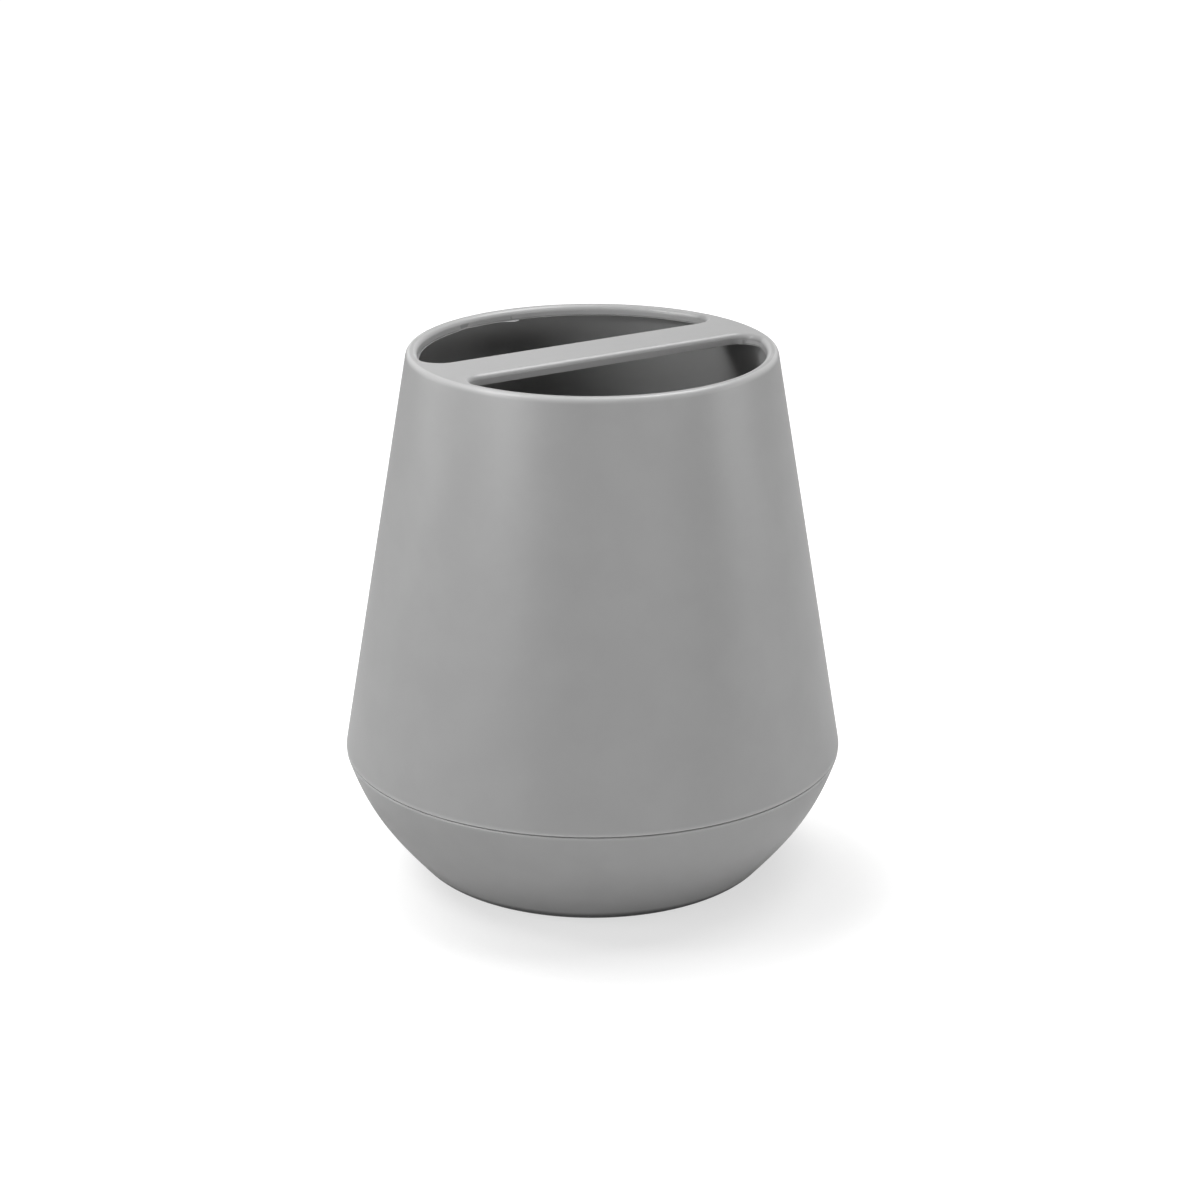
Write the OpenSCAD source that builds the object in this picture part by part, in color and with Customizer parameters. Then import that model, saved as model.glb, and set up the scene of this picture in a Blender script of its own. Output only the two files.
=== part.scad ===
// Toothbrush holder: a tapered cover with two openings, pushed onto a bowl-shaped base.
// Millimetres, +Z up. The origin is on the table, under the middle of the base, and the bar lies along X.

/* [Overall] */
// Diameter of the widest circle, where the cover meets the base, before its edges are rounded
widest_d = 100; // [88:1:116]
// Outer diameter of the rim, before its edge is rounded
rim_d = 72.5; // [66:0.5:82]
// Height of the cover, from the seam to the rim
cover_h = 81.75; // [60:0.25:120]
// Height of the base, from its underside to its upper edge
base_h = 24.5; // [21:0.5:32]

/* [Cover] */
// Wall of the cover, measured level
cover_wall = 2; // [1.6:0.1:3]
// Thickness of the top plate, which holds the bar
plate_t = 2.1; // [1.7:0.1:3.4]
// Width of the rim around the openings
rim_w = 2.25; // [2:0.05:5]
// Width of the bar between the openings
bar_w = 11.6; // [8:0.2:22]
// Corner radius of the openings
opening_corner_r = 4; // [2:0.5:7]
// Rounding along the upper edges of the openings
opening_edge_r = 1.1; // [0.4:0.1:1.1]
// Rounding along the rim's outer edge
rim_edge_r = 1; // [0.4:0.1:1]
// Rounding inside, between the wall and the plate
ceiling_r = 0.5; // [0.3:0.1:2]

/* [Joint between cover and base] */
// Thickness of the cover's wall at its lower edge, outside the bore
seat_w = 3; // [2.7:0.1:3.8]
// Depth of the straight bore in the cover's lower end
bore_h = 8; // [6.5:0.5:11]
// Slanted step from the bore to the tapered wall above it
bore_step_h = 1; // [0.5:0.1:2]
// Rounding at the mouth of the bore
bore_mouth_r = 0.4; // [0.2:0.1:0.8]
// Radial clearance between the collar and the bore
collar_fit = 0.08; // [0.03:0.01:0.1]
// Wall of the collar
collar_wall = 2.8; // [2.4:0.1:4]
// Free height between the top of the collar and the end of the bore
collar_end_gap = 1; // [0.5:0.1:1.5]
// Rounding on the collar's upper edges
collar_edge_r = 0.8; // [0.3:0.1:1]
// Height of the dark line between cover and base
seam_gap = 0.25; // [0.1:0.05:0.5]
// Depth of the dark line, from the outside to where the two parts touch
seam_depth = 1.2; // [0.8:0.1:1.6]
// Rounding of the two edges beside the dark line
seam_edge_r = 0.3; // [0.1:0.05:0.5]

/* [Seal ring] */
// Height of the ring
seal_h = 1.8; // [1.2:0.1:2.2]
// Depth of its groove in the collar
seal_groove_depth = 1.4; // [0.8:0.1:1.6]
// Height of the groove's lower side above the seat
seal_groove_rise = 2.2; // [1.4:0.1:2.6]
// Clearance between the ring and the groove's floor, and between the ring and the bore
seal_fit = 0.05; // [0.02:0.01:0.1]
// Clearance above and below the ring
seal_side_gap = 0.1; // [0.05:0.05:0.2]
// Rounding of the ring's section
seal_r = 0.5; // [0.2:0.1:0.5]

/* [Base] */
// Wall of the bowl
base_wall = 2.4; // [1.8:0.1:3.2]
// Thickness of the floor
floor_t = 2.4; // [1.8:0.1:4]
// Diameter at which the bowl's side would meet its underside without the rounding
foot_d = 69; // [62:0.5:74]
// Rounding between the side and the underside
foot_r = 5.3; // [3:0.1:6.5]
// Lean of the side from the vertical at the seam, in degrees
seam_lean = 18; // [10:0.5:26]
// Lean of the side from the vertical at the foot, in degrees
foot_lean = 42; // [36:0.5:48]
// Rounding inside, between the side and the floor
bowl_floor_r = 6; // [3:0.5:8]
// Height of the hollow under the floor
hollow_h = 0.8; // [0.4:0.1:1.5]

/* [Foot ring] */
// Width of the ring
foot_ring_w = 3.6; // [2.6:0.1:5]
// Distance from the outer edge of the flat underside to the ring's groove
foot_ring_inset = 1.6; // [1:0.1:3]
// Depth of its groove
foot_groove_depth = 1.2; // [0.8:0.1:1.4]
// Height by which the ring stands proud of the base
foot_proud = 0.3; // [0.2:0.1:1]
// Clearance at the sides of the ring
foot_ring_fit = 0.05; // [0.02:0.01:0.2]
// Rounding of the ring's lower edges
foot_ring_r = 0.5; // [0.2:0.1:0.8]
// Width of the flat left between the ring's groove and the hollow
foot_land_w = 1.6; // [1:0.1:3]

/* [Hidden] */
$fn = 120;

// Overrun of every cut
overrun = 1;
// Straight pieces in the arc of a rounded edge, in the arc of a large rounding and in the bowl's side
edge_steps = 5;
round_steps = 10;
side_steps = 14;
// Straight pieces in an opening's large arc and in each of its corners
opening_arc_steps = 40;
opening_corner_steps = 7;
// Reach of the curve's two handles, as shares of the distance between its ends
upper_handle_share = 0.37;
lower_handle_share = 0.42;
// Share of the bowl's side, from the seam down, that its inner side follows before it runs straight to the floor
inner_side_share = 0.8;
// Largest rounding of the seal ring, as a share of the smaller side of its section
seal_round_share = 0.45;

cover_colour = [0.66, 0.66, 0.66];
base_colour = [0.6, 0.6, 0.6];
seal_colour = [0.3, 0.3, 0.31];
foot_colour = [0.22, 0.22, 0.23];

widest_r = widest_d / 2;
rim_r = rim_d / 2;

under_z = foot_proud;
edge_z = under_z + base_h;
seat_z = edge_z + seam_gap;
top_z = seat_z + cover_h;
ceiling_z = top_z - plate_t;

bore_r = widest_r - seat_w;
bore_end_z = seat_z + bore_h;
collar_r = bore_r - collar_fit;
collar_inner_r = collar_r - collar_wall;
collar_top_z = bore_end_z - collar_end_gap;

seal_groove_z = seat_z + seal_groove_rise;
seal_groove_r = collar_r - seal_groove_depth;
seal_groove_h = seal_h + 2 * seal_side_gap;

floor_z = under_z + hollow_h + floor_t;
foot_corner_r = foot_d / 2;
foot_tangent = foot_r * tan((90 - foot_lean) / 2);
flat_r = foot_corner_r - foot_tangent;
foot_groove_outer_r = flat_r - foot_ring_inset;
foot_groove_inner_r = foot_groove_outer_r - foot_ring_w;
foot_groove_z = under_z + foot_groove_depth;
hollow_r = foot_groove_inner_r - foot_land_w;

opening_r = rim_r - rim_w;
opening_edge = min(opening_edge_r, rim_w - rim_edge_r);

// Unit vector from one point to another
function heading(from, to) = (to - from) / norm(to - from);

// Angle turned from one direction to another, between -180 and 180
function turn(from, to) = (to - from + 540) % 360 - 180;

// Points of the arc that rounds a corner, from the edge before it to the edge after it
function rounded_corner(before, corner, after, radius, steps) =
    let(
        back = heading(corner, before),
        on = heading(corner, after),
        half_angle = acos(back * on) / 2,
        middle = heading([0, 0], back + on),
        centre = corner + middle * radius / sin(half_angle),
        start = corner + back * radius / tan(half_angle) - centre,
        end = corner + on * radius / tan(half_angle) - centre,
        start_angle = atan2(start[1], start[0]),
        sweep = turn(start_angle, atan2(end[1], end[0]))
    )
    [for (i = [0:steps]) let(a = start_angle + sweep * i / steps) centre + radius * [cos(a), sin(a)]];

// Closed outline from corners given as [x, y, rounding]
function rounded_outline(corners) =
    let(count = len(corners), at = [for (c = corners) [c[0], c[1]]])
    [for (i = [0:count - 1])
        for (p = corners[i][2] > 0
            ? rounded_corner(at[(i + count - 1) % count], at[i], at[(i + 1) % count], corners[i][2], edge_steps)
            : [at[i]])
            p];

// Outer radius of the cover at a height
function cover_r(z) = rim_r + (widest_r - rim_r) * (top_z - z) / cover_h;

// The bowl's side is one curve from the seam to the start of the foot's rounding
side_top = [widest_r, edge_z];
side_end = [foot_corner_r, under_z] + foot_tangent * [sin(foot_lean), cos(foot_lean)];
side_reach = norm(side_top - side_end);
side_upper_handle = side_top - upper_handle_share * side_reach * [sin(seam_lean), cos(seam_lean)];
side_lower_handle = side_end + lower_handle_share * side_reach * [sin(foot_lean), cos(foot_lean)];

// Point of the side's curve, where t runs from 0 at the seam to 1 at the foot
function side_point(t) =
    pow(1 - t, 3) * side_top
    + 3 * pow(1 - t, 2) * t * side_upper_handle
    + 3 * (1 - t) * pow(t, 2) * side_lower_handle
    + pow(t, 3) * side_end;

// Direction of the side's curve there, downwards
function side_heading(t) =
    heading([0, 0],
        pow(1 - t, 2) * (side_upper_handle - side_top)
        + 2 * (1 - t) * t * (side_lower_handle - side_upper_handle)
        + pow(t, 2) * (side_end - side_lower_handle));

// Point of the bowl's inner side, one wall inside the outer one
function inner_side_point(t) =
    let(down = side_heading(t))
    side_point(t) + base_wall * [down[1], -down[0]];

// Where the inner side would meet the floor
inner_side_end = inner_side_point(inner_side_share);
inner_side_heading = side_heading(inner_side_share);
floor_corner = inner_side_end + inner_side_heading * (floor_z - inner_side_end[1]) / inner_side_heading[1];

// Section of the cover, with its plate closed
module cover_section() {
    polygon(rounded_outline([
        [0, top_z, 0],
        [rim_r, top_z, rim_edge_r],
        [widest_r, seat_z, seam_edge_r],
        [bore_r, seat_z, bore_mouth_r],
        [bore_r, bore_end_z, 0],
        [cover_r(bore_end_z + bore_step_h) - cover_wall, bore_end_z + bore_step_h, 0],
        [cover_r(ceiling_z) - cover_wall, ceiling_z, ceiling_r],
        [0, ceiling_z, 0]
    ]));
}

// Centre of an opening's corner rounding
corner_y = bar_w / 2 + opening_corner_r;
corner_x = sqrt(pow(opening_r - opening_corner_r, 2) - pow(corner_y, 2));
corner_angle = atan2(corner_y, corner_x);

// Outline of the opening behind the bar, widened all round, anticlockwise from its right corner
function opening_outline(widening) =
    let(small = opening_corner_r + widening, large = opening_r + widening, sweep = 90 + corner_angle)
    concat(
        [for (i = [0:opening_corner_steps]) let(a = -90 + sweep * i / opening_corner_steps)
            [corner_x + small * cos(a), corner_y + small * sin(a)]],
        [for (i = [1:opening_arc_steps - 1]) let(a = corner_angle + (180 - 2 * corner_angle) * i / opening_arc_steps)
            large * [cos(a), sin(a)]],
        [for (i = [0:opening_corner_steps]) let(a = 180 - corner_angle + sweep * i / opening_corner_steps)
            [-corner_x + small * cos(a), corner_y + small * sin(a)]]
    );

// Levels of the opening's cut as [widening, height]: straight through the plate, then a quarter round
opening_levels = concat(
    [[0, ceiling_z - overrun]],
    [for (i = [0:edge_steps]) let(a = 90 * i / edge_steps)
        [opening_edge * (1 - cos(a)), top_z - opening_edge * (1 - sin(a))]],
    [[opening_edge, top_z + overrun]]
);

// Cut for the opening behind the bar, with its upper edge rounded over
module opening_cut() {
    rings = [for (level = opening_levels) [for (p = opening_outline(level[0])) [p[0], p[1], level[1]]]];
    count = len(rings[0]);
    last = len(rings) - 1;
    polyhedron(
        points = [for (ring = rings) for (p = ring) p],
        faces = concat(
            [[for (i = [0:count - 1]) i]],
            [for (k = [0:last - 1]) for (i = [0:count - 1])
                let(j = (i + 1) % count)
                [k * count + j, k * count + i, (k + 1) * count + i, (k + 1) * count + j]],
            [[for (i = [0:count - 1]) last * count + count - 1 - i]]
        )
    );
}

module upper_shell() {
    color(cover_colour)
    difference() {
        rotate_extrude() cover_section();
        opening_cut();
        rotate([0, 0, 180]) opening_cut();
    }
}

// Outer outline of the base, from the middle of its underside out and up to the collar
function base_outline() =
    let(
        underside = rounded_outline([
            [0, under_z + hollow_h, 0],
            [hollow_r, under_z + hollow_h, 0],
            [hollow_r, under_z, 0],
            [foot_groove_inner_r, under_z, 0],
            [foot_groove_inner_r, foot_groove_z, 0],
            [foot_groove_outer_r, foot_groove_z, 0],
            [foot_groove_outer_r, under_z, 0]
        ]),
        foot = rounded_corner([0, under_z], [foot_corner_r, under_z], side_end, foot_r, round_steps),
        side = [for (i = [side_steps - 1:-1:1]) side_point(i / side_steps)],
        upper_edge = rounded_corner(
            side_point(1 / side_steps), side_top, side_top - [seam_depth, 0], seam_edge_r, edge_steps),
        seat = [
            [widest_r - seam_depth, edge_z],
            [widest_r - seam_depth, seat_z],
            [collar_r, seat_z]
        ],
        groove = [
            [collar_r, seal_groove_z],
            [seal_groove_r, seal_groove_z],
            [seal_groove_r, seal_groove_z + seal_groove_h],
            [collar_r, seal_groove_z + seal_groove_h]
        ],
        groove_end = groove[3],
        collar_outer = rounded_corner(
            groove_end, [collar_r, collar_top_z], [collar_inner_r, collar_top_z], collar_edge_r, edge_steps),
        collar_inner = rounded_corner(
            [collar_r, collar_top_z], [collar_inner_r, collar_top_z], [collar_inner_r, floor_z],
            collar_edge_r, edge_steps)
    )
    concat(underside, foot, side, upper_edge, seat, groove, collar_outer, collar_inner,
        [[collar_inner_r, seat_z], [0, seat_z]]);

// The space in the bowl, as wide as the collar's mouth at most
module bowl_space_section() {
    intersection() {
        square([collar_inner_r, collar_top_z]);
        polygon(concat(
            [[0, floor_z]],
            rounded_corner([0, floor_z], floor_corner, inner_side_end, bowl_floor_r, round_steps),
            [for (i = [side_steps:-1:0]) inner_side_point(inner_side_share * i / side_steps)],
            [[widest_r, collar_top_z + overrun], [0, collar_top_z + overrun]]
        ));
    }
}

module base_bowl() {
    color(base_colour)
    rotate_extrude()
    difference() {
        polygon(base_outline());
        bowl_space_section();
    }
}

module seal_ring() {
    inner = seal_groove_r + seal_fit;
    outer = bore_r - seal_fit;
    low = seal_groove_z + seal_side_gap;
    high = low + seal_h;
    rounding = min(seal_r, seal_round_share * min(outer - inner, seal_h));
    color(seal_colour)
    rotate_extrude()
    polygon(rounded_outline([
        [inner, low, rounding],
        [outer, low, rounding],
        [outer, high, rounding],
        [inner, high, rounding]
    ]));
}

module foot_ring() {
    inner = foot_groove_inner_r + foot_ring_fit;
    outer = foot_groove_outer_r - foot_ring_fit;
    color(foot_colour)
    rotate_extrude()
    polygon(rounded_outline([
        [inner, 0, foot_ring_r],
        [outer, 0, foot_ring_r],
        [outer, foot_groove_z, 0],
        [inner, foot_groove_z, 0]
    ]));
}

upper_shell();
base_bowl();
seal_ring();
foot_ring();
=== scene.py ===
"""Toothbrush holder: the finished looks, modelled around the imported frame.

Every length is in metres. The holder stands on the table at height zero, its axis is upright,
and the bar between its two openings lies along X. The camera looks from the side of the
front opening.
"""

import logging
import math
from contextlib import contextmanager
from dataclasses import dataclass, field
from enum import Enum
from functools import cache
from itertools import pairwise
from typing import Callable, Iterator, Sequence

import bmesh
import bpy
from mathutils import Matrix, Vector, noise


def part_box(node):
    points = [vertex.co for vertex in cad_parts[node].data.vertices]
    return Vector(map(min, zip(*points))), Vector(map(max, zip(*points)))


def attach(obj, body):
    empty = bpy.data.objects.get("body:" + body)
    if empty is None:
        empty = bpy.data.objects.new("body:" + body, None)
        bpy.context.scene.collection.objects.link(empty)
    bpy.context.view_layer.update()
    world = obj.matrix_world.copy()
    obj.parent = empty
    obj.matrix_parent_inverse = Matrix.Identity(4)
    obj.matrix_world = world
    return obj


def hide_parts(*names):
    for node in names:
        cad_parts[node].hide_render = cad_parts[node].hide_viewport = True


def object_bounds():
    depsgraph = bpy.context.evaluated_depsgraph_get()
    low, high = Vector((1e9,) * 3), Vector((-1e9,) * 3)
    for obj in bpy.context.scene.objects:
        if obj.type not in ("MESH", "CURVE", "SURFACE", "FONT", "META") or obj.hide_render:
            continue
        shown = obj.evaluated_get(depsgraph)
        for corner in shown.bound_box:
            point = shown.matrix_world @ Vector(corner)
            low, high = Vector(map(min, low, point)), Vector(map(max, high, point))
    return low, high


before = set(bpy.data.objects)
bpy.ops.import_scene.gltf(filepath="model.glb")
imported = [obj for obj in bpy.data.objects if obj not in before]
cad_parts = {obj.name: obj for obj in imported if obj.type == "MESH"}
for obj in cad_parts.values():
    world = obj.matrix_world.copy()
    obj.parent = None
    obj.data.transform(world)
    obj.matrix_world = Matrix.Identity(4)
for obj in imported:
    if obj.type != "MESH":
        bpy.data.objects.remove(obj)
CAD_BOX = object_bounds()

MM = 0.001
LATHE_STEPS = 256
MERGE_DISTANCE = 0.002 * MM
OVERRUN = 1 * MM
FACING_UP = 0.5
LARGEST_FACES_ONLY = 100

log = logging.getLogger("toothbrush_holder")


class Opening(Enum):
    """The two openings of the cover, by the side of the bar on which they lie."""

    BACK = 1
    FRONT = -1


class Combination(Enum):
    """How one closed shape changes another."""

    CUT = "DIFFERENCE"
    JOIN = "UNION"


class Socket(Enum):
    """The kinds of socket that the shader groups have."""

    VALUE = "NodeSocketFloat"
    VECTOR = "NodeSocketVector"
    COLOUR = "NodeSocketColor"


class Effect(Enum):
    """The shader node groups that the finishes share."""

    GRAIN = "fine_grain"
    MOTTLE = "colour_mottle"
    SPECKS = "tiny_specks"
    # Edges smoothed by wear, and painted lighter as a highlight.
    EDGES = "rubbed_edges"
    # Painted shade on the lowest part, where the base meets the floor.
    LOW_PAINTED_SHADE = "tide_line"


# Outlines


@dataclass(frozen=True)
class Corner:
    """One corner of an outline, and the rounding that replaces it."""

    across: float
    up: float
    rounding: float = 0.0
    steps: int = 6

    @property
    def place(self) -> Vector:
        """The corner as a point in the plane."""
        return Vector((self.across, self.up))


def corner_arc(before: Vector, corner: Corner, after: Vector) -> list[Vector]:
    """Give the arc that rounds a corner.

    Args:
        before: The point before the corner.
        corner: The corner itself.
        after: The point after the corner.

    Returns:
        The points of the arc, from the edge before the corner to the edge after it.
    """
    here = corner.place
    back = (before - here).normalized()
    onward = (after - here).normalized()
    half_angle = back.angle(onward) / 2
    centre = here + (back + onward).normalized() * corner.rounding / math.sin(half_angle)
    reach = corner.rounding / math.tan(half_angle)
    first = here + back * reach - centre
    last = here + onward * reach - centre
    start = math.atan2(first.y, first.x)
    sweep = math.remainder(math.atan2(last.y, last.x) - start, math.tau)
    angles = [start + sweep * step / corner.steps for step in range(corner.steps + 1)]
    return [centre + corner.rounding * Vector((math.cos(a), math.sin(a))) for a in angles]


def rounded(corners: Sequence[Corner], closed: bool = False) -> list[Vector]:
    """Turn a row of corners into the points of an outline.

    Args:
        corners: The corners in order.
        closed: Whether the last corner is joined to the first.

    Returns:
        The outline's points, with each rounded corner as an arc.
    """
    points: list[Vector] = []
    count = len(corners)
    for index, corner in enumerate(corners):
        at_end = index in (0, count - 1) and not closed
        if corner.rounding <= 0 or at_end:
            points.append(corner.place)
            continue
        before = corners[index - 1].place
        after = corners[(index + 1) % count].place
        points.extend(corner_arc(before, corner, after))
    return points


def curve_point(steering: Sequence[Vector], share: float) -> Vector:
    """Give one point of a smooth curve.

    Args:
        steering: The curve's start, the two points that it bends towards, and its end.
        share: How far along the point lies, from 0 at the start to 1 at the end.

    Returns:
        The point.
    """
    first, second, third, fourth = steering
    rest = 1 - share
    return rest**3 * first + 3 * rest**2 * share * second + 3 * rest * share**2 * third + share**3 * fourth


def upright(points: Sequence[Vector]) -> list[Vector]:
    """Stand a section up in the XZ plane, so that it can be turned about the axis."""
    return [Vector((point.x, 0, point.y)) for point in points]


def level(points: Sequence[Vector], height: float) -> list[Vector]:
    """Lay an outline flat at a height."""
    return [Vector((point.x, point.y, height)) for point in points]


# Mesh work


def deselect_everything() -> None:
    """Leave nothing selected in object mode."""
    if bpy.context.mode != "OBJECT":
        bpy.ops.object.mode_set(mode="OBJECT")
    bpy.ops.object.select_all(action="DESELECT")


def hold(piece: bpy.types.Object) -> None:
    """Make one object the only selected and active one.

    Args:
        piece: The object.
    """
    deselect_everything()
    piece.select_set(True)
    bpy.context.view_layer.objects.active = piece


@contextmanager
def editing(piece: bpy.types.Object) -> Iterator[None]:
    """Open a mesh in edit mode with nothing selected, and close it again.

    Args:
        piece: The object.

    Returns:
        A context in which the mesh is open.
    """
    hold(piece)
    bpy.ops.object.mode_set(mode="EDIT")
    bpy.ops.mesh.select_all(action="DESELECT")
    yield
    bpy.ops.object.mode_set(mode="OBJECT")


def pick_edges(piece: bpy.types.Object, wanted: Callable[[bmesh.types.BMEdge], bool]) -> int:
    """Select edges of the mesh in edit mode.

    Args:
        piece: The object that is open in edit mode.
        wanted: Says of an edge whether it is to be selected.

    Returns:
        The number of edges that were selected.
    """
    bpy.ops.mesh.select_mode(type="EDGE")
    bpy.ops.mesh.select_all(action="DESELECT")
    mesh = bmesh.from_edit_mesh(piece.data)
    picked = [edge for edge in mesh.edges if wanted(edge)]
    for edge in picked:
        edge.select_set(True)
    bmesh.update_edit_mesh(piece.data)
    return len(picked)


def tidy_mesh() -> None:
    """Merge doubles and turn every face outwards, in edit mode."""
    bpy.ops.mesh.select_all(action="SELECT")
    bpy.ops.mesh.remove_doubles(threshold=MERGE_DISTANCE)
    bpy.ops.mesh.normals_make_consistent(inside=False)


def draw_chain(name: str, points: Sequence[Vector], closed: bool = False) -> bpy.types.Object:
    """Draw a chain of straight edges: one vertex, extruded from point to point.

    Args:
        name: Name of the new object.
        points: The points in space that the chain visits.
        closed: Whether the chain comes back to its first point.

    Returns:
        The new object.
    """
    deselect_everything()
    bpy.ops.mesh.primitive_plane_add(size=MM, location=points[0])
    chain = bpy.context.active_object
    chain.name = name
    bpy.ops.object.transform_apply(location=True)
    with editing(chain):
        bpy.ops.mesh.select_mode(type="VERT")
        bpy.ops.mesh.select_all(action="SELECT")
        bpy.ops.mesh.merge(type="CENTER")
        stops = [*points, points[0]] if closed else points
        for here, there in pairwise(stops):
            bpy.ops.mesh.extrude_vertices_move(TRANSFORM_OT_translate={"value": there - here})
        bpy.ops.mesh.select_all(action="SELECT")
        bpy.ops.mesh.remove_doubles(threshold=MERGE_DISTANCE)
    return chain


def turned(name: str, section: Sequence[Vector], closed: bool = False) -> bpy.types.Object:
    """Spin a section once round the upright axis, and close the surface where it meets itself.

    Args:
        name: Name of the new object.
        section: Points of the half section, as distances from the axis and heights.
        closed: Whether the section comes back to its first point.

    Returns:
        The new object.
    """
    piece = draw_chain(name, upright(section), closed)
    with editing(piece):
        bpy.ops.mesh.select_all(action="SELECT")
        bpy.ops.mesh.spin(steps=LATHE_STEPS, angle=math.tau, center=(0, 0, 0), axis=(0, 0, 1))
        tidy_mesh()
    return piece


def at_height(edge: bmesh.types.BMEdge, height: float) -> bool:
    """Say whether both ends of an edge lie at a height."""
    return all(abs(vertex.co.z - height) < MERGE_DISTANCE for vertex in edge.verts)


def close_rims(piece: bpy.types.Object, heights: Sequence[float]) -> None:
    """Close open circles with one flat face each.

    Args:
        piece: The object that has the circles.
        heights: The height of each circle.
    """
    with editing(piece):
        for height in heights:
            pick_edges(piece, lambda edge: edge.is_boundary and at_height(edge, height))
            bpy.ops.mesh.edge_face_add()
        tidy_mesh()


def prism(name: str, outline: Sequence[Vector], low: float, high: float) -> bpy.types.Object:
    """Extrude a flat outline upwards into a closed block.

    Args:
        name: Name of the new object.
        outline: Points of the outline, seen from above.
        low: Height of the lower face.
        high: Height of the upper face.

    Returns:
        The new object.
    """
    block = draw_chain(name, level(outline, low), closed=True)
    with editing(block):
        bpy.ops.mesh.select_all(action="SELECT")
        bpy.ops.mesh.edge_face_add()
        bpy.ops.mesh.extrude_region_move(TRANSFORM_OT_translate={"value": (0, 0, high - low)})
        tidy_mesh()
    return block


def combine(piece: bpy.types.Object, tool: bpy.types.Object, combination: Combination) -> None:
    """Cut one object with another, or join the two, and throw the second away.

    Args:
        piece: The object that is kept.
        tool: The object that cuts or is joined.
        combination: Which of the two is done.
    """
    hold(piece)
    change = piece.modifiers.new(tool.name, "BOOLEAN")
    change.operation = combination.value
    change.solver = "EXACT"
    change.object = tool
    bpy.ops.object.modifier_apply(modifier=change.name)
    bpy.data.objects.remove(tool)


def smooth(piece: bpy.types.Object, sharp_angle: float) -> None:
    """Shade a finished mesh smooth, with its large faces kept true.

    Args:
        piece: The object.
        sharp_angle: Edges that turn by more than this many degrees stay sharp.
    """
    hold(piece)
    bpy.ops.object.shade_smooth_by_angle(angle=math.radians(sharp_angle))
    weighting = piece.modifiers.new("large_faces_first", "WEIGHTED_NORMAL")
    weighting.mode = "FACE_AREA_WITH_ANGLE"
    weighting.weight = LARGEST_FACES_ONLY
    weighting.keep_sharp = True
    bpy.ops.object.modifier_apply(modifier=weighting.name)


def open_edges(piece: bpy.types.Object) -> int:
    """Count the edges that don't have exactly two faces.

    Args:
        piece: The object.

    Returns:
        The number of such edges, which is 0 where the mesh is closed.
    """
    mesh = bmesh.new()
    mesh.from_mesh(piece.data)
    count = sum(1 for edge in mesh.edges if not edge.is_manifold)
    mesh.free()
    return count


# Shader groups


class Wiring:
    """Adds nodes to one node tree and joins their sockets."""

    # Where a Mix node has its sockets for colours
    FIRST_COLOUR = 6
    SECOND_COLOUR = 7
    MIXED_COLOUR = 2

    def __init__(self, tree: bpy.types.NodeTree) -> None:
        """Start on a tree.

        Args:
            tree: The node tree of a material, a world or a group.
        """
        self.tree = tree

    def node(
        self, kind: str, inputs: dict[str | int, object] | None = None, **settings: object
    ) -> bpy.types.Node:
        """Add a node.

        Args:
            kind: Blender's name of the node type, without the leading ShaderNode.
            inputs: Fixed values or sockets for the node's inputs, by name or number.
            **settings: Properties of the node, by name.

        Returns:
            The new node.
        """
        made = self.tree.nodes.new("ShaderNode" + kind)
        for name, value in settings.items():
            setattr(made, name, value)
        for name, value in (inputs or {}).items():
            self.feed(made.inputs[name], value)
        return made

    def feed(self, target: bpy.types.NodeSocket, value: object) -> None:
        """Give an input a fixed value, or link it if the value is a socket.

        Args:
            target: The input.
            value: The fixed value, or the output that is linked.
        """
        if isinstance(value, bpy.types.NodeSocket):
            self.tree.links.new(value, target)
        else:
            target.default_value = value

    def maths(self, operation: str, *values: object) -> bpy.types.NodeSocket:
        """Work a sum out from numbers or sockets, by Blender's name of the operation."""
        return self.node("Math", dict(enumerate(values)), operation=operation).outputs[0]

    def ramp(
        self, value: object, low: object, high: object, start: float = 0.0, end: float = 1.0
    ) -> bpy.types.NodeSocket:
        """Fade smoothly from one number to another.

        Args:
            value: What the fade follows.
            low: Where the fade begins.
            high: Where the fade ends.
            start: The number before the fade.
            end: The number after the fade.

        Returns:
            The faded number.
        """
        inputs = {"Value": value, "From Min": low, "From Max": high, "To Min": start, "To Max": end}
        return self.node("MapRange", inputs, interpolation_type="SMOOTHSTEP").outputs["Result"]

    def mix(self, share: object, first: object, second: object) -> bpy.types.NodeSocket:
        """Blend two colours: the first where the share is 0, the second where it is 1."""
        inputs = {"Factor": share, self.FIRST_COLOUR: first, self.SECOND_COLOUR: second}
        return self.node("Mix", inputs, data_type="RGBA").outputs[self.MIXED_COLOUR]

    def effect(self, effect: Effect, inputs: dict[str, object]) -> bpy.types.NodeSocket:
        """Place the shared group of an effect with values of its own, and give its output."""
        return self.node("Group", inputs, node_tree=shared_group(effect)).outputs[0]

    def noise(self, place: object, scale: object, detail: float) -> bpy.types.NodeSocket:
        """Give the value of a noise pattern."""
        return self.node("TexNoise", {"Vector": place, "Scale": scale, "Detail": detail}).outputs["Fac"]


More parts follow.
